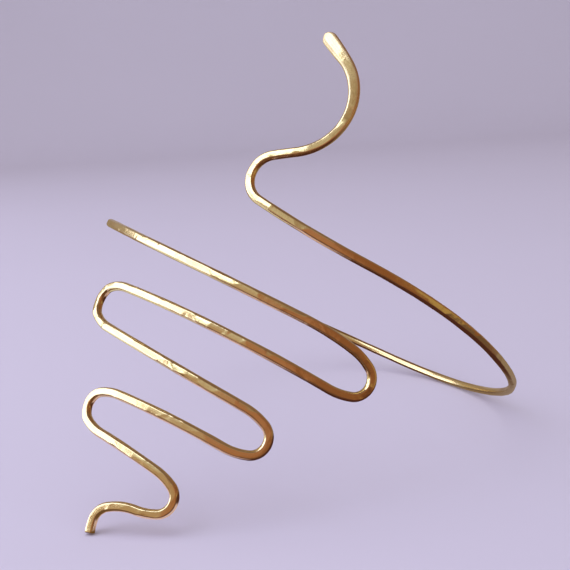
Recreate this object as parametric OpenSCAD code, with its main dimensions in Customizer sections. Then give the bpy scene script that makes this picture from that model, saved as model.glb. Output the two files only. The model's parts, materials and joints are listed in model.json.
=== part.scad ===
// Upper arm cuff: one piece of round wire, bent to a serpent line, wrapped once round
// the arm and hammered flat on the outside. Millimetres, +Z up, standing as it rests.

/* [Arm] */
// Diameter of the cuff, measured at the middle of the wire
arm_d = 88; // [70:0.5:115]
// Sideways lean of the cuff as it rests, degrees from upright
lean_side = 26.9; // [0:0.1:45]
// Backward lean of the cuff as it rests, degrees from upright
lean_back = 18.1; // [0:0.1:45]
// Turn of the cuff about the vertical, degrees
facing = -5.8; // [-180:0.1:180]

/* [Wire] */
// Width of the hammered wire, across its outer face
wire_w = 1.75; // [1.2:0.05:3.2]
// Thickness of the hammered wire, outer face to inner face
wire_t = 1.4; // [0.9:0.05:2.5]

/* [Head] */
// Width of the flattened head near its round end
head_w = 2.75; // [1.8:0.05:5]
// Thickness of the flattened head
head_t = 0.95; // [0.6:0.05:2]
// Length over which the head tapers into the plain wire
head_len = 30; // [15:1:45]
// Radius of the head's large curve
head_r = 10.4; // [7:0.1:14]

/* [Zigzag] */
// Length of the first and longest run of the zigzag
zigzag_run = 42.6; // [30:0.1:55]
// Radius of a hairpin bend where it is tightest, at the middle of the wire
hairpin_r = 3.1; // [2.3:0.1:5]

/* [Fineness] */
// Longest facet along the wire
facet_len = 4; // [2:0.5:8]
// Largest turn of one facet in a bend, degrees
facet_turn = 16; // [10:1:30]

/* [Hidden] */

// Where the head's tip lies: degrees round the arm from its front, and height up the arm
// as a share of its diameter. The way the wire sets off from there is in degrees from the
// girth's direction.
TIP_ANGLE = -23.3;
TIP_UP_SHARE = 0.4375;
TIP_HEADING = -33.5;

arm_r = arm_d / 2;
girth = PI * arm_d;

// The wire's legs on the unrolled arm, from the head's tip to the tail's tip, a row each:
// [length of the run as a share of its size, sweep in the run, bend after it, radius share]
// Sweeps and bends are in degrees, positive to the left of travel.
HEAD_LEGS = [
    [0.57, 0, -120.5, head_r / hairpin_r],
    [0.38, 1.0, 140.3, 1.389]
];
WRAP_LEGS = [
    [0.078, 9.5, 0, 0],
    [0.107, -4.9, 0, 0],
    [0.277, 10.7, 0, 0],
    [0.429, -7.7, 0, 0],
    [0.167, 2.2, 0, 0],
    [0.035, -10.1, -173.2, 0.988]
];
ZIGZAG_LEGS = [
    [1.000, 6.8, 175.4, 1.000],
    [0.743, -1.9, -179.4, 0.965],
    [0.493, 8.6, 174.2, 0.915],
    [0.290, -6.3, -166.4, 0.903],
    [0.075, 17.3, 85.5, 0.965]
];

// How a bend is made, as parts of its turn: [share of the turn, how many times wider than
// its tightest radius]. The head's bends are plain arcs. Those of the zigzag are eased into
// the runs on either side.
PLAIN_BEND = [[1, 1]];
EASED_BEND = [[0.12, 3.9], [0.76, 1], [0.12, 3.9]];

// The wire's section in shares of its half width and half thickness: [across, outwards].
// The outer face is flat, and the inner one keeps more of the round wire.
SECTION = [
    [0.52, 1.00], [0.86, 0.73], [1.00, 0.16], [0.94, -0.46], [0.69, -0.85], [0.29, -1.00],
    [-0.29, -1.00], [-0.69, -0.85], [-0.94, -0.46], [-1.00, 0.16], [-0.86, 0.73], [-0.52, 1.00]
];

// How the head blends into the wire: [share of head_len, share of the head's size]
HEAD_TAPER = [
    [0, 1.00], [0.10, 1.00], [0.20, 0.56], [0.43, 0.33], [0.65, 0.09], [1, 0]
];

// The head's round end: how far along its radius each ring lies, and the share of the
// thickness that is left at the very tip
TIP_RING_SHARES = [0.06, 0.25, 0.55, 1];
TIP_THIN_SHARE = 0.55;

// The least gap between two rings, in shares of the longest facet
RING_GAP_SHARE = 0.25;

// The legs as arcs: [length, turn in degrees]
function bend_arcs(turn, radius, parts) = [
    for (part = parts) [abs(turn) * part[0] * PI / 180 * part[1] * radius, turn * part[0]]
];
function leg_arcs(legs, run_size, parts) = [
    for (leg = legs) each concat(
        [[leg[0] * run_size, leg[1]]],
        leg[2] == 0 ? [] : bend_arcs(leg[2], leg[3] * hairpin_r, parts)
    )
];
ARCS = concat(
    leg_arcs(HEAD_LEGS, head_r, PLAIN_BEND),
    leg_arcs(WRAP_LEGS, girth, EASED_BEND),
    leg_arcs(ZIGZAG_LEGS, zigzag_run, EASED_BEND)
);

// Where an arc of this length and turn ends: state is [along, up, heading, station]
function onward(state, length, turn) =
    let (
        curve = turn * PI / 180 / length,
        heading = state[2] + turn,
        straight = abs(turn) < 0.01
    ) [
        state[0] + (straight ? length * cos(heading) : (sin(heading) - sin(state[2])) / curve),
        state[1] + (straight ? length * sin(heading) : (cos(state[2]) - cos(heading)) / curve),
        heading,
        state[3] + length
    ];

// The states at the start of every arc, and at the wire's end
TIP_STATE = [TIP_ANGLE * PI / 180 * arm_r, TIP_UP_SHARE * arm_d, TIP_HEADING, 0];
function starts(i = 0, state = TIP_STATE) =
    i == len(ARCS) ? [state]
    : concat([state], starts(i + 1, onward(state, ARCS[i][0], ARCS[i][1])));
STARTS = starts();
wire_len = STARTS[len(ARCS)][3];

// Stations along the wire: those of the round end, then even steps in each arc
tip_r = head_w / 2;
ARC_STATIONS = [
    for (i = [0 : len(ARCS) - 1])
        let (
            steps = ceil(max(ARCS[i][0] / facet_len, abs(ARCS[i][1]) / facet_turn)),
            first = STARTS[i][3]
        )
        for (k = [1 : steps]) first + ARCS[i][0] * k / steps
];
STATIONS = concat(
    [for (share = TIP_RING_SHARES) tip_r * share],
    [for (station = ARC_STATIONS) if (station > tip_r + RING_GAP_SHARE * facet_len) station]
);

// The state at any station
function arc_at(station, i = 0) =
    i == len(ARCS) - 1 || station <= STARTS[i + 1][3] ? i : arc_at(station, i + 1);
function state_at(station) =
    let (i = arc_at(station), gone = station - STARTS[i][3])
    gone <= 0 ? STARTS[i] : onward(STARTS[i], gone, ARCS[i][1] * gone / ARCS[i][0]);

// Width and thickness at a station
function head_share(station) = lookup(station / head_len, HEAD_TAPER);
function round_end(station) =
    station >= tip_r ? 1 : sqrt(1 - pow(1 - station / tip_r, 2));
function width_at(station) =
    (wire_w + (head_w - wire_w) * head_share(station)) * round_end(station);
function thickness_at(station) =
    (wire_t + (head_t - wire_t) * head_share(station))
    * (TIP_THIN_SHARE + (1 - TIP_THIN_SHARE) * round_end(station));

// One ring of the wire, wrapped on the arm
function ring_at(station) =
    let (
        state = state_at(station),
        angle = state[0] / arm_r * 180 / PI,
        outward = [sin(angle), -cos(angle), 0],
        round_arm = [cos(angle), sin(angle), 0],
        travel = cos(state[2]) * round_arm + sin(state[2]) * [0, 0, 1],
        across = cross(outward, travel),
        middle = arm_r * outward + [0, 0, state[1]],
        half_w = width_at(station) / 2,
        half_t = thickness_at(station) / 2
    ) [
        for (corner = SECTION)
            middle + across * corner[0] * half_w + outward * corner[1] * half_t
    ];

// The resting stance: lean back, lean sideways, turn, and set down with the lowest
// point on the ground and the middle of the outline over the origin
LEAN_BACK = [[1, 0, 0], [0, cos(lean_back), sin(lean_back)], [0, -sin(lean_back), cos(lean_back)]];
LEAN_SIDE = [[cos(lean_side), 0, sin(lean_side)], [0, 1, 0], [-sin(lean_side), 0, cos(lean_side)]];
TURN = [[cos(facing), -sin(facing), 0], [sin(facing), cos(facing), 0], [0, 0, 1]];
STANCE = TURN * LEAN_SIDE * LEAN_BACK;
LEANT = [for (station = STATIONS) for (point = ring_at(station)) STANCE * point];
function span(axis) = [for (point = LEANT) point[axis]];
set_down = [
    -(min(span(0)) + max(span(0))) / 2,
    -(min(span(1)) + max(span(1))) / 2,
    -min(span(2))
];

module cuff_wire() {
    sides = len(SECTION);
    rings = len(STATIONS);
    skin = [
        for (ring = [0 : rings - 2], side = [0 : sides - 1])
            let (
                here = ring * sides + side,
                next = ring * sides + (side + 1) % sides
            )
            each [
                [here, next, next + sides],
                [here, next + sides, here + sides]
            ]
    ];
    head_cap = [for (side = [0 : sides - 1]) sides - 1 - side];
    tail_cap = [for (side = [0 : sides - 1]) (rings - 1) * sides + side];
    color([0.80, 0.64, 0.32])
        translate(set_down)
            polyhedron(points = LEANT, faces = concat(skin, [head_cap, tail_cap]), convexity = 10);
}

cuff_wire();
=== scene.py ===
"""An upper arm cuff: one hammered brass wire, bent to a serpent line round the arm.

The wire's flat pattern is worked out here, and geometry nodes wrap it on the arm, give it
its section and hammer it. Everything is in metres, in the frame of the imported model.
"""
import json
import math

import bpy
from mathutils import Euler, Matrix, Vector


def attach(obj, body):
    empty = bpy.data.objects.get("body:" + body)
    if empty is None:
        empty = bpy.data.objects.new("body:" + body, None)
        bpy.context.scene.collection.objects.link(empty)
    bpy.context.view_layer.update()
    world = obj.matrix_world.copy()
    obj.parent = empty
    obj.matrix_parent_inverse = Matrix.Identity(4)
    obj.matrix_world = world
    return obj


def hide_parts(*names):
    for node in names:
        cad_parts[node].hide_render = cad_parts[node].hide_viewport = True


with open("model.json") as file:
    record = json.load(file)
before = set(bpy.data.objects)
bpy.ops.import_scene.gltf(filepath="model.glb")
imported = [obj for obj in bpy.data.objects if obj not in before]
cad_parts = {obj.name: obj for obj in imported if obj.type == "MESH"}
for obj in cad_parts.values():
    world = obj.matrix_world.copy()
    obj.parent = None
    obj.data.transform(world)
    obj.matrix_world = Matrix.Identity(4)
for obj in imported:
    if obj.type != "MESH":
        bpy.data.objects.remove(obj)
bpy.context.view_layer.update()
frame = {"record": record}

bl_info = {
    "name": "Hammered arm cuff",
    "version": (1, 0, 0),
    "blender": (4, 5, 0),
    "location": "3D View > Sidebar > Arm cuff",
    "description": "Bends, hammers and lights an upper arm cuff of brass wire",
    "category": "Object",
}

MM = 0.001
CUFF_MIDDLE = (0, 0, 40 * MM)
IMAGE_PX = 570

# The wire's legs on the unrolled arm, from the head's tip to the tail's tip, a row each:
# run as a share of its size, sweep in the run, bend after it, and the bend's radius as a
# share of a hairpin's, or None for the head's own. Sweeps and bends are in degrees, positive
# to the left of travel.
HEAD_LEGS = ((0.57, 0, -120.5, None), (0.38, 1.0, 140.3, 1.389))
WRAP_LEGS = (
    (0.078, 9.5, 0, 0),
    (0.107, -4.9, 0, 0),
    (0.277, 10.7, 0, 0),
    (0.429, -7.7, 0, 0),
    (0.167, 2.2, 0, 0),
    (0.035, -10.1, -173.2, 0.988),
)
ZIGZAG_LEGS = (
    (1.000, 6.8, 175.4, 1.000),
    (0.743, -1.9, -179.4, 0.965),
    (0.493, 8.6, 174.2, 0.915),
    (0.290, -6.3, -166.4, 0.903),
    (0.075, 17.3, 85.5, 0.965),
)

# How a bend is made, as parts of its turn: share of the turn, and how many times wider than
# its tightest radius. The zigzag's bends are eased into the runs on either side.
PLAIN_BEND = ((1, 1),)
EASED_BEND = ((0.12, 3.9), (0.76, 1), (0.12, 3.9))

# Where the head's tip lies: degrees round the arm, height up the arm as a share of its
# diameter, and the way the wire sets off, in degrees from the girth's direction.
TIP_ANGLE = -23.3
TIP_UP_SHARE = 0.4375
TIP_HEADING = -33.5

# How the head blends into the wire: share of the head's length, share of the head's size.
# Then how far to either side this is averaged, as a share of the head's length.
HEAD_TAPER = ((0, 1.00), (0.10, 1.00), (0.20, 0.56), (0.43, 0.33), (0.65, 0.09), (1, 0))
TAPER_BLUR = 0.05

# The head's round end: its rings, the share of the thickness left at the very tip, and how
# far the thinned tip is lifted towards the outer face, 1 being all the way
TIP_STEPS = 10
TIP_THIN_SHARE = 0.55
TIP_LIFT_SHARE = 0.6

# The bevel of the tail's cut: its length, the rings on it as shares of that, and how much
# smaller the wire gets
TAIL_BEVEL = 0.16 * MM
BEVEL_RINGS = (1.0, 0.62, 0.3, 0.08, 0.0)
BEVEL_DEPTH = 0.16

# The section: the share of a quarter's points on the flat, and how full the rounded inner
# side is
FLAT_STEPS = 0.36
BELLY_POWER = 0.8

# How the wire varies along its length: changes in a blow's length, the noise's usual span,
# and the most that the flat's share differs
VARIATION_SCALE = 0.45
NOISE_SPAN = (0.25, 0.75)
FLAT_VARIATION = 0.06

# The hammer's marks. The tilt's and the fine marks' strengths are given on the wire and on
# the head, with the head's share from which they are the head's.
RIM_SHARE = 0.8  # distance of a facet's rim from its middle, in facet lengths
CELL_SMOOTHNESS = 0.3
HEAD_FLAT_FROM = 0.8  # square root of the head's share from which the flat is the head's
TILT_STRENGTHS, TILT_HEAD_FROM = (2.0, 0.9), 0.4
PLANISH_STRENGTHS, PLANISH_HEAD_FROM = (0.5, 1.0), 0.3
STRUCK_HEIGHTS = (-0.35, 0.55)  # half thicknesses between which the marks fade in
RIPPLE_SCALE = 420.0  # waves in a metre
LEAST_HALF_WIDTH = 0.2 * MM  # the ripple eases off where the wire is narrower
SHARP_ANGLE = 50  # degrees between faces from which their edge is shaded sharp
FEWEST_FACES = 1000  # a sweep with fewer has failed

# Streaks in the polish: changes in a metre along and across the wire, and contrast
STREAKS = {
    "broad": (160.0, 500.0, 0.5),
    "lines": (130.0, 2600.0, 0.5),
    "fine": (420.0, 5200.0, 0.6),
    "crosswise": (2400.0, 600.0, 0.6),
    "speckle": (1900.0, 1900.0, 0.7),
}
# Nicks: distance between them, the size of one as a share of that, and the share of its
# size within which it is at full depth
NICK_SPACING = 1.6 * MM
NICK_SIZE = 0.13
NICK_CORE = 0.4

# Where the brass is worn, across and outwards, and where it is toned, outwards: from none to
# all of it, in half widths and half thicknesses
WORN_ACROSS = (0.45, 0.62)
WORN_OUTWARDS = (0.55, 0.95)
TONED_OUTWARDS = (0.1, -0.7)

# The brass: how much of the worn and the toned colour shows at most, what is added to the
# roughness, and the heights of the finest relief in shares of the bump's own. The crosswise
# marks' are given on the wire and on the head, as the hammer's marks are.
WORN_AMOUNT = 0.4
TONED_AMOUNT = 0.22
FINE_ROUGHNESS = 0.08
BROAD_ROUGHNESS = 0.05
MEAN_STREAK_ROUGHNESS = 0.06
HEAD_RIM_ROUGHNESS = 0.40
CROSSWISE_HEIGHTS, CROSSWISE_HEAD_FROM = (0.3, 1.0), 0.4
SPECKLE_HEIGHT = 1.6
NICK_DEPTH = 0.7
BUMP_HEIGHT = 0.02 * MM
BUMP_STRENGTH = 0.4

# The floor's sweep: front edge, where it starts to rise, radius, top and half width
FLOOR_FRONT, SWEEP_START, SWEEP_RADIUS, SWEEP_TOP, FLOOR_HALF = -1.6, 0.9, 0.6, 2.2, 2.2
SWEEP_STEPS = 16

# The floor's paper: changes of its grain in a metre, the grain's tone as a share of the
# paper's own, and the roughness
PAPER_GRAIN = 6.0
PAPER_SHADE = 0.97
PAPER_ROUGHNESS = 0.75

# The camera: width of the sensor in millimetres, and the nearest that it sees in metres
SENSOR_WIDTH = 36.0
CLIP_START = 0.01

# The soft lights on the left: degrees round from the camera, degrees up, size in metres, and
# the share of the key's power. Then their distance and colour, and the light overhead.
KEY_PANELS = (
    ("key", -84, 14, (0.91, 0.49), 0.64),
    ("key_upper", -63, 41.5, (0.80, 0.33), 0.36),
)
KEY_DISTANCE = 0.8
KEY_COLOR = (0.93, 0.95, 1.24)
OVERHEAD_PLACE = (-0.2, 0.1, 1.1)
OVERHEAD_SIZE = (0.9, 0.9)
OVERHEAD_COLOR = (0.97, 0.97, 1.0)
AMBIENT_COLOR = (0.98, 0.96, 1.0, 1)


def length_value(name, description, default, low, high):
    """A property that holds a length in metres."""
    return bpy.props.FloatProperty(
        name=name, description=description, default=default, min=low, max=high,
        precision=5, unit="LENGTH", subtype="DISTANCE")


def angle_value(name, description, degrees):
    """A property that holds an angle, given here in degrees."""
    return bpy.props.FloatProperty(
        name=name, description=description, default=math.radians(degrees),
        unit="ROTATION", subtype="ANGLE")


def share_value(name, description, default, high=1.0):
    """A property that holds a share or a plain factor."""
    return bpy.props.FloatProperty(
        name=name, description=description, default=default, min=0.0, max=high,
        subtype="FACTOR")


def color_value(name, description, default):
    """A property that holds a colour in linear light."""
    return bpy.props.FloatVectorProperty(
        name=name, description=description, default=default, size=3, min=0.0, max=1.0,
        subtype="COLOR")


class CuffShape(bpy.types.PropertyGroup):
    """Sizes of the bent wire."""

    arm_diameter: length_value(
        "Arm diameter", "Across the cuff, at the middle of the wire", 88 * MM, 0.07, 0.115)
    wire_width: length_value(
        "Wire width", "Across the hammered face", 1.75 * MM, 0.0012, 0.0032)
    wire_thickness: length_value(
        "Wire thickness", "From the hammered face to the arm", 1.4 * MM, 0.0009, 0.0025)
    head_width: length_value(
        "Head width", "Across the flattened head", 2.75 * MM, 0.0018, 0.005)
    head_thickness: length_value(
        "Head thickness", "Of the flattened head", 0.95 * MM, 0.0006, 0.002)
    head_length: length_value(
        "Head length", "Over which the head tapers into the wire", 30 * MM, 0.015, 0.045)
    head_radius: length_value(
        "Head radius", "Of the head's large curve", 10.4 * MM, 0.007, 0.014)
    zigzag_run: length_value(
        "Zigzag run", "Length of the first and longest run", 42.6 * MM, 0.03, 0.055)
    hairpin_radius: length_value(
        "Hairpin radius", "Of a hairpin bend where it is tightest", 3.1 * MM, 0.0023, 0.005)
    lean_back: angle_value("Lean back", "Backward lean at rest", 18.1)
    lean_side: angle_value("Lean sideways", "Sideways lean at rest", 26.9)
    facing: angle_value("Facing", "Turn about the vertical", -5.8)
    ring_spacing: length_value(
        "Ring spacing", "Distance between the wire's rings", 0.27 * MM, 0.0002, 0.002)
    sides: bpy.props.IntProperty(
        name="Sides", description="Points round the wire's section", default=48, min=16, max=64)


class CuffHammering(bpy.types.PropertyGroup):
    """Marks that the hammer leaves."""

    flat_share: share_value("Flat share", "Share of the width that is hammered flat", 0.59)
    head_flat_share: share_value(
        "Head's flat share", "Share of the head's width that is hammered flat", 0.80)
    crown: share_value("Crown", "Rise of the face's middle, in half thicknesses", 0.07)
    blow_length: length_value(
        "Blow length", "Typical length of one hammered facet", 3.2 * MM, 0.001, 0.01)
    blow_radius: length_value(
        "Blow radius", "Radius of the shallow dent of a blow", 48 * MM, 0.01, 0.3)
    blow_tilt: angle_value("Blow tilt", "Most that a facet tilts sideways", 4.0)
    planish_length: length_value(
        "Planish length", "Typical length of a finer mark on the head", 1.5 * MM, 0.0005, 0.005)
    planish_radius: length_value(
        "Planish radius", "Radius of the shallow dent of a finer mark", 32 * MM, 0.004, 0.1)
    ripple: length_value(
        "Ripple", "Depth of the slight waves along the sides", 0.012 * MM, 0.0, 0.0001)
    thinning: share_value("Thinning", "Most that the width varies along the wire", 0.08)
    seed: bpy.props.FloatProperty(
        name="Seed", description="Chooses another set of hammer marks", default=1.0)


class CuffBrass(bpy.types.PropertyGroup):
    """Colours and polish of the brass."""

    bright: color_value("Bright brass", "Where the metal is freshly polished", (0.89, 0.76, 0.42))
    deep: color_value("Deep brass", "The slightly toned metal", (0.82, 0.64, 0.27))
    worn: color_value("Worn edge", "Rubbed edges and high spots", (0.95, 0.83, 0.56))
    toned: color_value("Toned hollow", "Darker film in hollows", (0.45, 0.26, 0.10))
    roughness: share_value("Roughness", "Of the polished faces", 0.14)


class CuffStage(bpy.types.PropertyGroup):
    """Floor, lights and camera."""

    floor_color: color_value("Floor colour", "The pale floor and sweep", (0.60, 0.555, 0.67))
    key_power: bpy.props.FloatProperty(
        name="Key power", description="Of the large light on the left", default=4.1, min=0.0)
    top_power: bpy.props.FloatProperty(
        name="Top power", description="Of the soft light overhead", default=2.2, min=0.0)
    ambient: share_value("Ambient", "Strength of the even light all round", 0.72, 5.0)
    camera_distance: length_value(
        "Camera distance", "From the arm's axis to the camera", 208 * MM, 0.1, 1.0)
    camera_pitch: angle_value("Camera pitch", "Of the view against the arm's axis", 5.5)
    camera_roll: angle_value("Camera roll", "Of the picture against the arm's axis", 23.95)
    camera_offset: length_value(
        "Camera offset", "Sideways, from the arm's axis", -6.4 * MM, -0.1, 0.1)
    focal_px: bpy.props.FloatProperty(
        name="Focal length", description="In pixels of the 570 pixel picture", default=1000.0)


# The wire's flat pattern


def leg_arcs(legs, run_size, hairpin_radius, parts, first_radius=None):
    """The legs of a table as arcs: length and turn in radians."""
    arcs = []
    for run, sweep, bend, radius_share in legs:
        arcs.append((run * run_size, math.radians(sweep)))
        radius = first_radius if radius_share is None else radius_share * hairpin_radius
        for share, wider in parts if bend else ():
            turn = math.radians(bend) * share
            arcs.append((abs(turn) * radius * wider, turn))
    return arcs


def onward(state, length, turn):
    """Where an arc ends: along the girth, up the arm, heading and station."""
    along, up, heading, station = state
    end = heading + turn
    if abs(turn) < 1e-6:
        return (along + length * math.cos(heading), up + length * math.sin(heading),
                end, station + length)
    radius = length / turn
    return (along + radius * (math.sin(end) - math.sin(heading)),
            up + radius * (math.cos(heading) - math.cos(end)), end, station + length)


def flat_pattern(shape):
    """States at every ring of the wire, from the head's tip to the tail's, and its length."""
    arm_radius = shape.arm_diameter / 2
    girth = math.pi * shape.arm_diameter
    bend = shape.hairpin_radius
    arcs = (leg_arcs(HEAD_LEGS, shape.head_radius, bend, PLAIN_BEND, shape.head_radius)
            + leg_arcs(WRAP_LEGS, girth, bend, EASED_BEND)
            + leg_arcs(ZIGZAG_LEGS, shape.zigzag_run, bend, EASED_BEND))
    state = (math.radians(TIP_ANGLE) * arm_radius, TIP_UP_SHARE * shape.arm_diameter,
             math.radians(TIP_HEADING), 0.0)
    starts = [state]
    for length, turn in arcs:
        starts.append(onward(starts[-1], length, turn))
    wire_length = starts[-1][3]

    tip_radius = shape.head_width / 2
    stations = [tip_radius * (1 - math.cos(math.pi / 2 * k / TIP_STEPS))
                for k in range(1, TIP_STEPS)]
    rings = math.ceil((wire_length - tip_radius) / shape.ring_spacing)
    stations += [tip_radius + (wire_length - tip_radius) * k / rings for k in range(rings)]
    stations = [s for s in stations if s < wire_length - TAIL_BEVEL - shape.ring_spacing / 2]
    stations += [wire_length - TAIL_BEVEL * share for share in BEVEL_RINGS]

    pattern, arc = [], 0
    for station in stations:
        while arc < len(arcs) - 1 and station > starts[arc + 1][3]:
            arc += 1
        gone = station - starts[arc][3]
        length, turn = arcs[arc]
        state = onward(starts[arc], gone, turn * gone / length) if gone > 0 else starts[arc]
        pattern.append(state)
    return pattern, wire_length


def head_share(station, head_length):
    """How much of the head's size the wire has at a station."""
    place = station / head_length
    for (x0, y0), (x1, y1) in zip(HEAD_TAPER, HEAD_TAPER[1:]):
        if place < x1:
            return y0 + (y1 - y0) * (place - x0) / (x1 - x0)
    return 0.0


def smooth_head_share(station, head_length):
    """The head's share, averaged a little so that the taper has no corners."""
    steps = 5
    places = [station + head_length * TAPER_BLUR * (k / steps) for k in range(-steps, steps + 1)]
    return sum(head_share(max(0.0, place), head_length) for place in places) / len(places)


# Node building


class NodeMaker:
    """Adds nodes to a tree, in columns from left to right, and links or sets their inputs."""

    def __init__(self, tree):
        self.tree = tree
        self.count = 0

    def add(self, kind, inputs=None, **settings):
        """A node of this kind; inputs are sockets to link or values to set."""
        node = self.tree.nodes.new(kind)
        node.location = (220 * (self.count // 6), -190 * (self.count % 6))
        self.count += 1
        for name, value in settings.items():
            setattr(node, name, value)
        for name, value in (inputs or {}).items():
            self.put(value, node.inputs[name])
        return node

    def put(self, value, socket):
        """Links a socket to another node's, or sets its value."""
        if isinstance(value, bpy.types.NodeSocket):
            self.tree.links.new(value, socket)
        else:
            socket.default_value = value

    def calc(self, operation, *values):
        """The result of a Math node."""
        return self.add(
            "ShaderNodeMath", dict(enumerate(values)), operation=operation).outputs[0]

    def vector(self, operation, *values, output="Vector"):
        """The result of a Vector Math node."""
        node = self.add("ShaderNodeVectorMath", operation=operation)
        for index, value in enumerate(values):
            self.put(value, node.inputs["Scale" if operation == "SCALE" and index else index])
        return node.outputs[output]

    def combine(self, x=0.0, y=0.0, z=0.0):
        """A vector from three numbers."""
        return self.add("ShaderNodeCombineXYZ", {"X": x, "Y": y, "Z": z}).outputs[0]

    def separate(self, vector):
        """The three numbers of a vector."""
        return self.add("ShaderNodeSeparateXYZ", {0: vector}).outputs

    def attribute(self, name, kind="FLOAT"):
        """A named attribute of the geometry."""
        node = self.add("GeometryNodeInputNamedAttribute", {"Name": name}, data_type=kind)
        return node.outputs[0]

    def remap(self, value, low, high, to_low=0.0, to_high=1.0, smooth=False):
        """A value taken from one range to another."""
        kind = "SMOOTHSTEP" if smooth else "LINEAR"
        return self.add("ShaderNodeMapRange", {
            "Value": value, "From Min": low, "From Max": high,
            "To Min": to_low, "To Max": to_high}, interpolation_type=kind).outputs["Result"]

    def blend(self, factor, first, second, label=""):
        """A mix of two colours, which a Mix node has at its inputs 6 and 7 and its output 2."""
        return self.add("ShaderNodeMix", {0: factor, 6: first, 7: second},
                        data_type="RGBA", label=label).outputs[2]


def new_sockets(tree, inputs, outputs):
    """Gives a tree its named inputs and outputs."""
    for direction, sockets in (("INPUT", inputs), ("OUTPUT", outputs)):
        for name, kind, default in sockets:
            socket = tree.interface.new_socket(
                name, in_out=direction, socket_type="NodeSocket" + kind)
            if default is not None:
                socket.default_value = default


# The hammered wire


def section_point(maker, turn, flat, crown):
    """Across and outwards, in half widths and half thicknesses, from quarters of a turn."""
    from_top = maker.calc("SUBTRACT", 2.0, turn)
    side = maker.calc("SIGN", from_top)
    reach = maker.calc("ABSOLUTE", from_top)
    on_flat = maker.calc("MINIMUM", maker.calc("DIVIDE", reach, FLAT_STEPS), 1.0)
    edge = maker.calc("ARCSINE", flat)
    shoulder = maker.remap(reach, FLAT_STEPS, 1.0, edge, math.pi / 2)
    belly = maker.remap(reach, 1.0, 2.0, 0.0, math.pi / 2)
    x_top = maker.calc("MULTIPLY", on_flat, maker.calc("SINE", shoulder))
    x = maker.calc("MULTIPLY", x_top, maker.calc("POWER", maker.calc("COSINE", belly), BELLY_POWER))
    y_top = maker.calc("DIVIDE", maker.calc("COSINE", shoulder), maker.calc("COSINE", edge))
    y_low = maker.calc("POWER", maker.calc("SINE", belly), BELLY_POWER)
    y = maker.calc("SUBTRACT", y_top, y_low)
    fall = maker.calc("MULTIPLY", maker.calc("MULTIPLY", x_top, x_top), crown)
    return maker.calc("MULTIPLY", x, side), maker.calc("SUBTRACT", y, fall)


def facets(maker, length, radius, place, seed):
    """Shallow dents that meet in ridges: how deep they are at a place, and a colour that
    differs from dent to dent."""
    scaled = maker.vector("SCALE", place, maker.calc("DIVIDE", 1.0, length))
    moved = maker.vector("ADD", scaled, maker.combine(seed, seed, 0.0))
    cells = maker.add("ShaderNodeTexVoronoi", {"Vector": moved, "Scale": 1.0, "Randomness": 1.0},
                      voronoi_dimensions="2D", feature="F1")
    distance = maker.calc("MULTIPLY", cells.outputs["Distance"], length)
    ball_width = maker.calc("MULTIPLY", radius, 2.0)
    bowl = maker.calc("DIVIDE", maker.calc("POWER", distance, 2.0), ball_width)
    reach = maker.calc("MULTIPLY", length, RIM_SHARE)
    rim = maker.calc("DIVIDE", maker.calc("POWER", reach, 2.0), ball_width)
    depth = maker.calc("MAXIMUM", maker.calc("SUBTRACT", rim, bowl), 0.0)
    soft = maker.add("ShaderNodeTexVoronoi", {
        "Vector": moved, "Scale": 1.0, "Randomness": 1.0,
        "Smoothness": CELL_SMOOTHNESS},
        voronoi_dimensions="2D", feature="SMOOTH_F1")
    return depth, soft.outputs["Color"]


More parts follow.
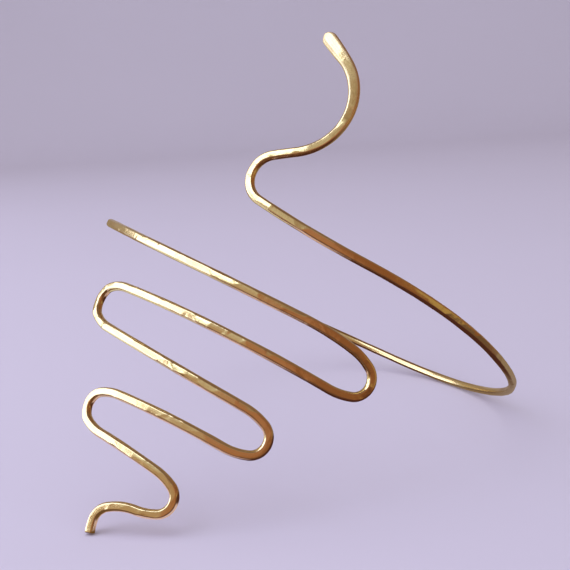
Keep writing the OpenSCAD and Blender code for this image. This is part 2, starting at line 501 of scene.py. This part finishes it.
def hammered_wire_tree():
    """Geometry nodes that wrap the flat pattern on the arm and sweep a hammered section."""
    tree = bpy.data.node_groups.new("Hammered wire", "GeometryNodeTree")
    new_sockets(tree, (
        ("Flat Pattern", "Geometry", None),
        ("Arm Diameter", "Float", 0.088),
        ("Sides", "Int", 48),
        ("Flat Share", "Float", 0.59),
        ("Head Flat Share", "Float", 0.8),
        ("Crown", "Float", 0.07),
        ("Blow Length", "Float", 0.0032),
        ("Blow Radius", "Float", 0.048),
        ("Blow Tilt", "Float", 0.07),
        ("Planish Length", "Float", 0.0015),
        ("Planish Radius", "Float", 0.032),
        ("Ripple", "Float", 0.000012),
        ("Thinning", "Float", 0.08),
        ("Seed", "Float", 1.0),
        ("Stance", "Vector", None),
        ("Set Down", "Vector", None),
        ("Material", "Material", None),
    ), (("Wire", "Geometry", None),))
    maker = NodeMaker(tree)
    inputs = maker.add("NodeGroupInput").outputs

    # The frame of every ring: its middle, and the ways outwards and across
    along, up, _ = maker.separate(maker.add("GeometryNodeInputPosition").outputs[0])
    radius = maker.calc("DIVIDE", inputs["Arm Diameter"], 2.0)
    angle = maker.calc("DIVIDE", along, radius)
    sine, cosine = maker.calc("SINE", angle), maker.calc("COSINE", angle)
    outward = maker.combine(sine, maker.calc("MULTIPLY", cosine, -1.0))
    round_arm = maker.combine(cosine, sine)
    heading = maker.attribute("heading")
    travel = maker.vector(
        "ADD", maker.vector("SCALE", round_arm, maker.calc("COSINE", heading)),
        maker.combine(0.0, 0.0, maker.calc("SINE", heading)))
    across = maker.vector("CROSS_PRODUCT", outward, travel)
    middle = maker.vector(
        "ADD", maker.vector("SCALE", outward, radius), maker.combine(0.0, 0.0, up))

    capture = maker.add("GeometryNodeCaptureAttribute", {"Geometry": inputs["Flat Pattern"]})
    for kind, name, value in (
            ("VECTOR", "Middle", middle), ("VECTOR", "Outward", outward),
            ("VECTOR", "Across", across), ("FLOAT", "Station", maker.attribute("station")),
            ("FLOAT", "Half Width", maker.attribute("half_width")),
            ("FLOAT", "Half Thickness", maker.attribute("half_thickness")),
            ("FLOAT", "Lift", maker.attribute("lift")),
            ("FLOAT", "Head", maker.attribute("head"))):
        capture.capture_items.new(kind, name)
        tree.links.new(value, capture.inputs[name])
    rings = capture.outputs
    placed = maker.add("GeometryNodeSetPosition", {
        "Geometry": rings["Geometry"], "Position": rings["Middle"]})
    path = maker.add("GeometryNodeMeshToCurve", {"Mesh": placed.outputs[0]})

    # The section, and the sweep
    circle = maker.add("GeometryNodeCurvePrimitiveCircle", {"Resolution": inputs["Sides"]})
    profile = maker.add("GeometryNodeCaptureAttribute", {"Geometry": circle.outputs[0]})
    profile.capture_items.new("FLOAT", "Turn")
    quarter = maker.calc("DIVIDE", inputs["Sides"], 4.0)
    index = maker.add("GeometryNodeInputIndex").outputs[0]
    tree.links.new(maker.calc("DIVIDE", index, quarter), profile.inputs["Turn"])
    sweep = maker.add("GeometryNodeCurveToMesh", {
        "Curve": path.outputs[0], "Profile Curve": profile.outputs["Geometry"], "Fill Caps": True})

    # Where a point is on the wire, and what the hammer does to it
    noise = maker.add("ShaderNodeTexNoise", {
        "W": maker.calc("ADD", maker.calc("DIVIDE", rings["Station"], inputs["Blow Length"]),
                        inputs["Seed"]),
        "Scale": VARIATION_SCALE, "Detail": 1.0}, noise_dimensions="1D")
    plain_flat = maker.calc("ADD", inputs["Flat Share"], maker.remap(
        noise.outputs[0], *NOISE_SPAN, -FLAT_VARIATION, FLAT_VARIATION))
    flat = maker.remap(maker.calc("SQRT", rings["Head"]), 0.0, HEAD_FLAT_FROM, plain_flat,
                       inputs["Head Flat Share"])
    section_x, section_y = section_point(maker, profile.outputs["Turn"], flat, inputs["Crown"])
    narrowing = maker.calc("SUBTRACT", 1.0, maker.calc("MULTIPLY", noise.outputs[0],
                                                       inputs["Thinning"]))
    half_width = maker.calc("MULTIPLY", rings["Half Width"], narrowing)
    x = maker.calc("MULTIPLY", section_x, half_width)
    y = maker.calc("ADD", maker.calc("MULTIPLY", section_y, rings["Half Thickness"]), rings["Lift"])
    place = maker.combine(rings["Station"], x)
    blow_depth, blow_color = facets(
        maker, inputs["Blow Length"], inputs["Blow Radius"], place, inputs["Seed"])
    planish_depth, _ = facets(
        maker, inputs["Planish Length"], inputs["Planish Radius"], place, inputs["Seed"])
    lean = maker.calc("SUBTRACT", maker.separate(blow_color)[0], 0.5)
    strength = maker.remap(rings["Head"], 0.0, TILT_HEAD_FROM, *TILT_STRENGTHS)
    slope = maker.calc("MULTIPLY", maker.calc("MULTIPLY", lean, inputs["Blow Tilt"]), strength)
    tilt = maker.calc("MULTIPLY", slope, x)
    spread = maker.calc("MULTIPLY", maker.calc("ABSOLUTE", slope), half_width)
    fineness = maker.remap(rings["Head"], 0.0, PLANISH_HEAD_FROM, *PLANISH_STRENGTHS)
    head_depth = maker.calc("MULTIPLY", planish_depth, fineness)
    depth = maker.calc("ADD", maker.calc("ADD", blow_depth, head_depth),
                       maker.calc("ADD", tilt, spread))
    struck = maker.remap(section_y, *STRUCK_HEIGHTS, smooth=True)
    waves = maker.add("ShaderNodeTexNoise", {
        "Vector": maker.vector("SCALE", maker.combine(rings["Station"], x, y), RIPPLE_SCALE),
        "Scale": 1.0, "Detail": 1.5}, noise_dimensions="3D")
    ripple = maker.calc("MULTIPLY", waves.outputs[0], inputs["Ripple"])
    inwards = maker.calc("MULTIPLY", maker.calc("MULTIPLY", depth, struck), -1.0)
    squeeze = maker.calc("DIVIDE", ripple, maker.calc("MAXIMUM", half_width, LEAST_HALF_WIDTH))
    x_final = maker.calc("MULTIPLY", x, maker.calc("SUBTRACT", 1.0, squeeze))
    offset = maker.vector(
        "ADD", maker.vector("SCALE", rings["Across"], x_final),
        maker.vector("SCALE", rings["Outward"], maker.calc("ADD", y, inwards)))
    shaped = maker.add("GeometryNodeSetPosition", {
        "Geometry": sweep.outputs[0],
        "Position": maker.vector("ADD", rings["Middle"], offset)})

    # What the material reads, the stance, and the finished mesh
    stored = maker.add("GeometryNodeStoreNamedAttribute", {
        "Geometry": shaped.outputs[0], "Name": "wire_place",
        "Value": maker.combine(rings["Station"], x, y)}, data_type="FLOAT_VECTOR", domain="POINT")
    marks = maker.add("GeometryNodeStoreNamedAttribute", {
        "Geometry": stored.outputs[0], "Name": "wire_marks",
        "Value": maker.combine(section_x, section_y, rings["Head"])},
        data_type="FLOAT_VECTOR", domain="POINT")
    stood = maker.add("GeometryNodeTransform", {
        "Geometry": marks.outputs[0], "Translation": inputs["Set Down"]})
    tree.links.new(inputs["Stance"], stood.inputs["Rotation"])
    real = maker.add("GeometryNodeRealizeInstances", {"Geometry": stood.outputs[0]})
    smooth = maker.add("GeometryNodeSetShadeSmooth", {"Geometry": real.outputs[0]})
    painted = maker.add("GeometryNodeSetMaterial", {
        "Geometry": smooth.outputs[0], "Material": inputs["Material"]})
    maker.add("NodeGroupOutput", {"Wire": painted.outputs[0]})
    return tree


def set_inputs(modifier, values):
    """Sets a modifier's inputs by the identifiers of their sockets."""
    for item in modifier.node_group.interface.items_tree:
        if item.item_type == "SOCKET" and item.in_out == "INPUT" and item.name in values:
            modifier[item.identifier] = values[item.name]


def pattern_mesh(shape):
    """The flat pattern as a line of points with what the sweep needs at each."""
    pattern, wire_length = flat_pattern(shape)
    mesh = bpy.data.meshes.new("flat_pattern")
    mesh.from_pydata([(along, up, 0.0) for along, up, _, _ in pattern],
                     [(k, k + 1) for k in range(len(pattern) - 1)], [])
    tip_radius = shape.head_width / 2
    columns = {"heading": [], "station": [], "half_width": [], "half_thickness": [],
               "lift": [], "head": []}
    for _, _, heading, station in pattern:
        head = smooth_head_share(station, shape.head_length)
        tip = min(1.0, station / tip_radius)
        round_end = math.sqrt(max(0.0, 1 - (1 - tip) ** 2))
        left = wire_length - station
        bevel = 1.0 if left > TAIL_BEVEL else 1 - BEVEL_DEPTH * (1 - left / TAIL_BEVEL) ** 2
        width = shape.wire_width + (shape.head_width - shape.wire_width) * head
        thickness = shape.wire_thickness + (shape.head_thickness - shape.wire_thickness) * head
        columns["heading"].append(heading)
        columns["station"].append(station)
        columns["half_width"].append(width / 2 * round_end * bevel)
        thinned = TIP_THIN_SHARE + (1 - TIP_THIN_SHARE) * round_end
        columns["half_thickness"].append(thickness / 2 * thinned * bevel)
        columns["lift"].append(thickness / 2 * (1 - thinned) * TIP_LIFT_SHARE)
        columns["head"].append(head)
    for name, values in columns.items():
        mesh.attributes.new(name, "FLOAT", "POINT").data.foreach_set("value", values)
    return mesh


def stance_of(shape):
    """The turn from the arm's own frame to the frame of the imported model."""
    return Euler((-shape.lean_back, shape.lean_side, shape.facing), "XYZ")


def set_down_point():
    """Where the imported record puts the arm's origin."""
    return Vector(frame["record"]["mounts"][0]["pos_m"])


# Materials


def streak_group():
    """Streaks and fine scratches that follow the wire, as a mask."""
    tree = bpy.data.node_groups.new("Polishing streaks", "ShaderNodeTree")
    new_sockets(tree, (
        ("Place", "Vector", None), ("Along", "Float", 300.0), ("Across", "Float", 3000.0),
        ("Contrast", "Float", 0.5)), (("Mask", "Float", None),))
    maker = NodeMaker(tree)
    inputs = maker.add("NodeGroupInput").outputs
    x, y, z = maker.separate(inputs["Place"])
    stretched = maker.combine(maker.calc("MULTIPLY", x, inputs["Along"]),
                              maker.calc("MULTIPLY", y, inputs["Across"]),
                              maker.calc("MULTIPLY", z, inputs["Across"]))
    noise = maker.add("ShaderNodeTexNoise", {"Vector": stretched, "Scale": 1.0, "Detail": 3.0,
                                             "Roughness": 0.6})
    half = maker.calc("MULTIPLY", inputs["Contrast"], 0.5)
    mask = maker.remap(noise.outputs[0], maker.calc("SUBTRACT", 0.5, half),
                       maker.calc("ADD", 0.5, half))
    maker.add("NodeGroupOutput", {"Mask": mask})
    return tree


def nick_group():
    """Sparse small nicks that the hammer's edge leaves, as a mask."""
    tree = bpy.data.node_groups.new("Hammer nicks", "ShaderNodeTree")
    new_sockets(tree, (
        ("Place", "Vector", None), ("Spacing", "Float", 0.0016), ("Size", "Float", 0.13)),
        (("Mask", "Float", None),))
    maker = NodeMaker(tree)
    inputs = maker.add("NodeGroupInput").outputs
    scaled = maker.vector("SCALE", inputs["Place"], maker.calc("DIVIDE", 1.0, inputs["Spacing"]))
    cells = maker.add("ShaderNodeTexVoronoi", {"Vector": scaled, "Scale": 1.0, "Randomness": 1.0},
                      voronoi_dimensions="3D", feature="F1")
    mask = maker.remap(cells.outputs["Distance"], inputs["Size"],
                       maker.calc("MULTIPLY", inputs["Size"], NICK_CORE), smooth=True)
    maker.add("NodeGroupOutput", {"Mask": mask})
    return tree


def placed_group(maker, name, inputs):
    """The output of a shared node group, placed in another tree."""
    node = maker.add("ShaderNodeGroup", inputs, node_tree=bpy.data.node_groups[name])
    return node.outputs[0]


def brass_material(brass):
    """Hammered and polished brass."""
    material = bpy.data.materials.new("hammered_brass")
    material.use_nodes = True
    tree = material.node_tree
    tree.nodes.clear()
    maker = NodeMaker(tree)
    output = maker.add("ShaderNodeOutputMaterial")
    shader = maker.add("ShaderNodeBsdfPrincipled", {"Metallic": 1.0})
    tree.links.new(shader.outputs[0], output.inputs[0])
    place = maker.add("ShaderNodeAttribute", attribute_type="GEOMETRY",
                      attribute_name="wire_place").outputs["Vector"]
    marks = maker.add("ShaderNodeAttribute", attribute_type="GEOMETRY",
                      attribute_name="wire_marks").outputs["Vector"]
    across, outwards, head = maker.separate(marks)

    streaks = {name: placed_group(maker, "Polishing streaks", {
        "Place": place, "Along": along, "Across": over, "Contrast": contrast})
        for name, (along, over, contrast) in STREAKS.items()}
    nicks = placed_group(maker, "Hammer nicks", {
        "Place": place, "Spacing": NICK_SPACING, "Size": NICK_SIZE})

    # The colour: streaky, paler on the worn edges and darker on the inner side
    bright, deep = (*brass.bright, 1), (*brass.deep, 1)
    streaky = maker.calc("MULTIPLY", maker.calc("ADD", streaks["broad"], streaks["lines"]), 0.5)
    base = maker.blend(streaky, deep, bright)
    edge = maker.remap(maker.calc("ABSOLUTE", across), *WORN_ACROSS, smooth=True)
    top_edge = maker.calc("MULTIPLY", edge, maker.remap(outwards, *WORN_OUTWARDS, smooth=True))
    worn = maker.blend(maker.calc("MULTIPLY", top_edge, WORN_AMOUNT), base, (*brass.worn, 1))
    film = maker.calc(
        "MULTIPLY", maker.remap(outwards, *TONED_OUTWARDS, smooth=True), TONED_AMOUNT)
    final = maker.blend(film, worn, (*brass.toned, 1))
    tree.links.new(final, shader.inputs["Base Color"])

    # The roughness: finely streaked, and more along the head's rim
    rough = maker.calc("ADD", maker.calc("MULTIPLY", streaks["fine"], FINE_ROUGHNESS),
                       maker.calc("MULTIPLY", streaks["broad"], BROAD_ROUGHNESS))
    rim = maker.calc("MULTIPLY", maker.calc("MULTIPLY", edge, head), HEAD_RIM_ROUGHNESS)
    smoothest = brass.roughness - MEAN_STREAK_ROUGHNESS
    tree.links.new(maker.calc("ADD", maker.calc("ADD", rough, rim), smoothest),
                   shader.inputs["Roughness"])

    # The finest relief: streaks, marks across the head, speckle and nicks
    struck = maker.calc("MULTIPLY", streaks["crosswise"], maker.remap(
        head, 0.0, CROSSWISE_HEAD_FROM, *CROSSWISE_HEIGHTS))
    fine_lines = maker.calc("MULTIPLY", maker.calc("ADD", streaks["fine"], streaks["lines"]), 0.5)
    height = maker.calc("ADD", fine_lines, struck)
    height = maker.calc("ADD", height, maker.calc("MULTIPLY", streaks["speckle"], SPECKLE_HEIGHT))
    height = maker.calc("SUBTRACT", height, maker.calc("MULTIPLY", nicks, NICK_DEPTH))
    bump = maker.add("ShaderNodeBump", {
        "Height": height, "Strength": BUMP_STRENGTH, "Distance": BUMP_HEIGHT})
    tree.links.new(bump.outputs[0], shader.inputs["Normal"])
    return material


# The tones of the warm room that the metal mirrors: degrees round from the camera's side,
# degrees up, the angles within which a tone is full and beyond which it is gone, and its
# colour. Later tones lie over earlier ones.
ROOM_BASE = (0.26, 0.105, 0.055)
ROOM_TONES = (
    ("terracotta wall", -12, 8, 12, 30, (0.40, 0.19, 0.13)),
    ("upper wall behind", 172, 46, 26, 52, (0.25, 0.17, 0.145)),
    ("pale wall behind", 180, 4, 22, 36, (0.44, 0.38, 0.40)),
    ("grey wall on the right", 135, -12, 18, 42, (0.32, 0.24, 0.22)),
    ("amber lamp", 60, -5, 8, 22, (0.44, 0.30, 0.14)),
    ("window jamb on the left", -112, 28, 24, 44, (0.42, 0.35, 0.31)),
    ("faint glow in front", -42, 12, 12, 30, (0.47, 0.34, 0.27)),
    ("upper wall in front", 0, 38, 12, 20, (0.36, 0.27, 0.21)),
    ("curtain in front", -28, 30, 9, 17, (0.56, 0.50, 0.48)),
    ("glow beside the window", -42, 35, 7, 16, (0.85, 0.92, 1.00)),
    ("window's edge", -46, 21, 2, 7, (0.84, 0.82, 0.88)),
    ("ceiling", 0, 80, 25, 48, (0.19, 0.115, 0.09)),
    # painted dark reflection: only the floor's glow for mirrored rays shows it, dark under the cuff
    # where the floor is pale and lit
    ("dark below the cuff", 20, -88, 50, 80, (0.075, 0.027, 0.024)),
    ("window sill", -92, -14, 18, 42, (0.85, 0.84, 0.92)),
    ("dull corner", -157, -6, 14, 28, (0.33, 0.25, 0.16)),
)
# What the metal mirrors on the floor close by, all painted reflection and painted shade that
# the floor glows with for mirrored rays: where its middle lies, in millimetres, the distances
# within which it is full and beyond which it is gone, and its colour
FLOOR_TONES = (
    ("pale patch", -68, -75, 57, 63, (0.72, 0.57, 0.88)),
    ("pale rim", -28, -11, 9, 17, (0.86, 0.62, 0.80)),
    # painted reflection: a dark tone where the floor is pale and lit
    ("dark painted reflection", -83, -92, 57, 62, (0.12, 0.06, 0.03)),
    ("dark edge", -28, -110, 59, 61, (0.14, 0.07, 0.05)),
    ("grey patch", 70, 25, 34, 50, (0.30, 0.23, 0.21)),
    ("dark patch", 110, -50, 30, 46, (0.16, 0.10, 0.08)),
    ("shade under the tail", -38, -49, 4, 6, (0.16, 0.09, 0.05)),
)


def room_group(axes):
    """The room's tone in any direction from the cuff."""
    tree = bpy.data.node_groups.new("Room tones", "ShaderNodeTree")
    new_sockets(tree, (("Direction", "Vector", None),), (("Tone", "Color", None),))
    maker = NodeMaker(tree)
    direction = maker.vector("NORMALIZE", maker.add("NodeGroupInput").outputs["Direction"])
    tone = (*ROOM_BASE, 1)
    for name, azimuth, elevation, full, gone, color in ROOM_TONES:
        middle = tuple(seen_from_camera(axes, azimuth, elevation))
        cosine = maker.vector("DOT_PRODUCT", direction, middle, output="Value")
        share = maker.remap(cosine, math.cos(math.radians(gone)), math.cos(math.radians(full)),
                            smooth=True)
        tone = maker.blend(share, tone, (*color, 1), name)
    maker.add("NodeGroupOutput", {"Tone": tone})
    return tree


def floor_material(color):
    """Plain pale paper to the eye and to light; for mirrored rays it glows instead, a painted
    reflection of the room's tones and the floor's tones.
    """
    material = bpy.data.materials.new("pale_paper_with_painted_reflections")
    material.use_nodes = True
    tree = material.node_tree
    tree.nodes.clear()
    maker = NodeMaker(tree)
    place = maker.add("ShaderNodeTexCoord").outputs["Object"]
    grain = maker.add("ShaderNodeTexNoise", {
        "Vector": place, "Scale": PAPER_GRAIN, "Detail": 2.0})
    shade = tuple(channel * PAPER_SHADE for channel in color)
    paper = maker.add("ShaderNodeBsdfPrincipled", {
        "Base Color": maker.blend(grain.outputs[0], (*shade, 1), (*color, 1)),
        "Roughness": PAPER_ROUGHNESS})
    from_cuff = maker.vector("SUBTRACT", place, CUFF_MIDDLE)
    tone = placed_group(maker, "Room tones", {"Direction": from_cuff})
    for name, x, y, full, gone, glow_color in FLOOR_TONES:
        away = maker.vector("DISTANCE", place, (x * MM, y * MM, 0), output="Value")
        share = maker.remap(away, gone * MM, full * MM, smooth=True)
        tone = maker.blend(share, tone, (*glow_color, 1), name)
    # painted reflection: for mirrored rays the floor glows in these tones instead of showing its
    # lit paper
    glow = maker.add("ShaderNodeEmission", {"Color": tone})
    mirrored = maker.add("ShaderNodeLightPath").outputs["Is Glossy Ray"]
    mix = maker.add("ShaderNodeMixShader", {0: mirrored, 1: paper.outputs[0], 2: glow.outputs[0]})
    maker.add("ShaderNodeOutputMaterial", {0: mix.outputs[0]})
    return material


def room_world(ambient):
    """Even pale light for what is seen and lit, and the warm room for what is mirrored."""
    world = bpy.data.worlds.new("room")
    world.use_nodes = True
    tree = world.node_tree
    tree.nodes.clear()
    maker = NodeMaker(tree)
    direction = maker.add("ShaderNodeTexCoord").outputs["Generated"]
    plain = maker.add("ShaderNodeBackground", {"Color": AMBIENT_COLOR, "Strength": ambient})
    tone = placed_group(maker, "Room tones", {"Direction": direction})
    room = maker.add("ShaderNodeBackground", {"Color": tone})
    mirrored = maker.add("ShaderNodeLightPath").outputs["Is Glossy Ray"]
    mix = maker.add("ShaderNodeMixShader", {0: mirrored, 1: plain.outputs[0], 2: room.outputs[0]})
    maker.add("ShaderNodeOutputWorld", {0: mix.outputs[0]})
    return world


# Operators


class CUFF_OT_wire(bpy.types.Operator):
    """Bend the wire from its flat pattern, wrap it on the arm and hammer it"""

    bl_idname = "cuff.wire"
    bl_label = "Bend and hammer the wire"

    def execute(self, context):
        scene = context.scene
        shape, hammering, brass = scene.cuff_shape, scene.cuff_hammering, scene.cuff_brass
        streak_group()
        nick_group()
        material = brass_material(brass)
        wire = bpy.data.objects.new("hammered_wire", pattern_mesh(shape))
        scene.collection.objects.link(wire)
        modifier = wire.modifiers.new("Hammered wire", "NODES")
        modifier.node_group = hammered_wire_tree()
        set_inputs(modifier, {
            "Arm Diameter": shape.arm_diameter,
            "Sides": shape.sides,
            "Flat Share": hammering.flat_share,
            "Head Flat Share": hammering.head_flat_share,
            "Crown": hammering.crown,
            "Blow Length": hammering.blow_length,
            "Blow Radius": hammering.blow_radius,
            "Blow Tilt": math.tan(hammering.blow_tilt),
            "Planish Length": hammering.planish_length,
            "Planish Radius": hammering.planish_radius,
            "Ripple": hammering.ripple,
            "Thinning": hammering.thinning,
            "Seed": hammering.seed,
            "Stance": tuple(stance_of(shape)),
            "Set Down": tuple(set_down_point()),
            "Material": material,
        })
        graph = context.evaluated_depsgraph_get()
        swept = bpy.data.meshes.new_from_object(
            wire.evaluated_get(graph), preserve_all_data_layers=True, depsgraph=graph)
        wire.modifiers.remove(modifier)
        if len(swept.polygons) < FEWEST_FACES:
            raise RuntimeError("the wire came out empty: its geometry nodes gave no mesh")
        wire.data = swept
        swept.name = "hammered_wire"
        swept.set_sharp_from_angle(angle=math.radians(SHARP_ANGLE))
        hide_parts("cuff_wire")
        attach(wire, "root")
        return {"FINISHED"}


def camera_axes(shape, stage):
    """The camera's right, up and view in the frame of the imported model."""
    stance = stance_of(shape).to_matrix()
    pitch, roll = stage.camera_pitch, stage.camera_roll
    view = Vector((0, math.cos(pitch), math.sin(pitch)))
    side = Vector((1, 0, 0))
    upright = side.cross(view)
    right = math.cos(roll) * side + math.sin(roll) * upright
    top = -math.sin(roll) * side + math.cos(roll) * upright
    return stance @ right, stance @ top, stance @ view


def basis(right, top, back, place):
    """A matrix from three axes and a place."""
    matrix = Matrix([right, top, back]).transposed().to_4x4()
    matrix.translation = place
    return matrix


def seen_from_camera(axes, azimuth, elevation):
    """A direction: degrees round from the camera's side of the cuff, and above it."""
    right, top, view = axes
    azimuth, elevation = math.radians(azimuth), math.radians(elevation)
    return (math.sin(azimuth) * math.cos(elevation) * right + math.sin(elevation) * top
            - math.cos(azimuth) * math.cos(elevation) * view)


def add_panel(name, power, place, target, top, size, color, mirrored=True):
    """A rectangular soft light that faces a point, with its upper edge towards top."""
    data = bpy.data.lights.new(name, "AREA")
    data.energy = power
    data.shape = "RECTANGLE"
    data.size, data.size_y = size
    data.color = color
    light = bpy.data.objects.new(name, data)
    bpy.context.scene.collection.objects.link(light)
    back = (place - target).normalized()
    right = top.cross(back).normalized()
    light.matrix_world = basis(right, back.cross(right), back, place)
    light.visible_glossy = mirrored


class CUFF_OT_stage(bpy.types.Operator):
    """Set the floor, the lights and the camera"""

    bl_idname = "cuff.stage"
    bl_label = "Set the stage"

    def execute(self, context):
        scene = context.scene
        stage, shape = scene.cuff_stage, scene.cuff_shape
        axes = camera_axes(shape, stage)
        room_group(axes)
        self.make_floor(scene, stage)
        self.make_lights(scene, stage, axes)
        self.make_camera(scene, stage, shape, axes)
        scene.view_settings.view_transform = "Standard"
        return {"FINISHED"}

    def make_floor(self, scene, stage):
        """A floor that sweeps up into a wall far behind the cuff."""
        outline = [(FLOOR_FRONT, 0.0), (SWEEP_START, 0.0)]
        for k in range(1, SWEEP_STEPS + 1):
            turn = math.pi / 2 * k / SWEEP_STEPS
            outline.append((SWEEP_START + SWEEP_RADIUS * math.sin(turn),
                            SWEEP_RADIUS - SWEEP_RADIUS * math.cos(turn)))
        outline.append((SWEEP_START + SWEEP_RADIUS, SWEEP_TOP))
        points = [(x, y, z) for y, z in outline for x in (-FLOOR_HALF, FLOOR_HALF)]
        faces = [(2 * k, 2 * k + 1, 2 * k + 3, 2 * k + 2) for k in range(len(outline) - 1)]
        mesh = bpy.data.meshes.new("floor")
        mesh.from_pydata(points, [], faces)
        mesh.materials.append(floor_material(tuple(stage.floor_color)))
        for polygon in mesh.polygons:
            polygon.use_smooth = True
        floor = bpy.data.objects.new("floor", mesh)
        scene.collection.objects.link(floor)

    def make_lights(self, scene, stage, axes):
        """Two soft lights on the left, one overhead, and the room all round."""
        middle = Vector(CUFF_MIDDLE)
        for name, azimuth, elevation, size, strength in KEY_PANELS:
            place = middle + KEY_DISTANCE * seen_from_camera(axes, azimuth, elevation)
            add_panel(name, stage.key_power * strength, place, middle, axes[1], size, KEY_COLOR)
        add_panel("overhead", stage.top_power, Vector(OVERHEAD_PLACE), middle, axes[2],
                  OVERHEAD_SIZE, OVERHEAD_COLOR, mirrored=False)
        scene.world = room_world(stage.ambient)

    def make_camera(self, scene, stage, shape, axes):
        """The camera, placed from the arm's own frame."""
        right, top, view = axes
        data = bpy.data.cameras.new("camera")
        data.sensor_width = SENSOR_WIDTH
        data.lens = stage.focal_px / IMAGE_PX * data.sensor_width
        data.clip_start = CLIP_START
        camera = bpy.data.objects.new("camera", data)
        scene.collection.objects.link(camera)
        side = stance_of(shape).to_matrix() @ Vector((1, 0, 0))
        place = set_down_point() + stage.camera_offset * side - stage.camera_distance * view
        camera.matrix_world = basis(right, top, -view, place)
        scene.camera = camera


class CUFF_PT_panel(bpy.types.Panel):
    """Lists the cuff's sizes and the steps that make it"""

    bl_idname = "CUFF_PT_panel"
    bl_label = "Arm cuff"
    bl_space_type = "VIEW_3D"
    bl_region_type = "UI"
    bl_category = "Arm cuff"

    def draw(self, context):
        layout = self.layout
        for title, group in (("Shape", "cuff_shape"), ("Hammering", "cuff_hammering"),
                             ("Brass", "cuff_brass"), ("Stage", "cuff_stage")):
            box = layout.box()
            box.label(text=title)
            settings = getattr(context.scene, group)
            for name in settings.bl_rna.properties.keys():
                if name not in ("rna_type", "name"):
                    box.prop(settings, name)
        layout.operator(CUFF_OT_wire.bl_idname)
        layout.operator(CUFF_OT_stage.bl_idname)


GROUPS = {
    "cuff_shape": CuffShape,
    "cuff_hammering": CuffHammering,
    "cuff_brass": CuffBrass,
    "cuff_stage": CuffStage,
}
CLASSES = (*GROUPS.values(), CUFF_OT_wire, CUFF_OT_stage, CUFF_PT_panel)


def register():
    """Makes the settings, the operators and the panel known to Blender."""
    for cls in CLASSES:
        bpy.utils.register_class(cls)
    for name, group in GROUPS.items():
        setattr(bpy.types.Scene, name, bpy.props.PointerProperty(type=group))


def unregister():
    """Takes them out again."""
    for name in GROUPS:
        delattr(bpy.types.Scene, name)
    for cls in reversed(CLASSES):
        bpy.utils.unregister_class(cls)


def main():
    """Builds the cuff and its stage."""
    register()
    bpy.ops.cuff.wire()
    bpy.ops.cuff.stage()
    bpy.context.scene.camera = bpy.data.objects["camera"]


if __name__ == "__main__":
    main()
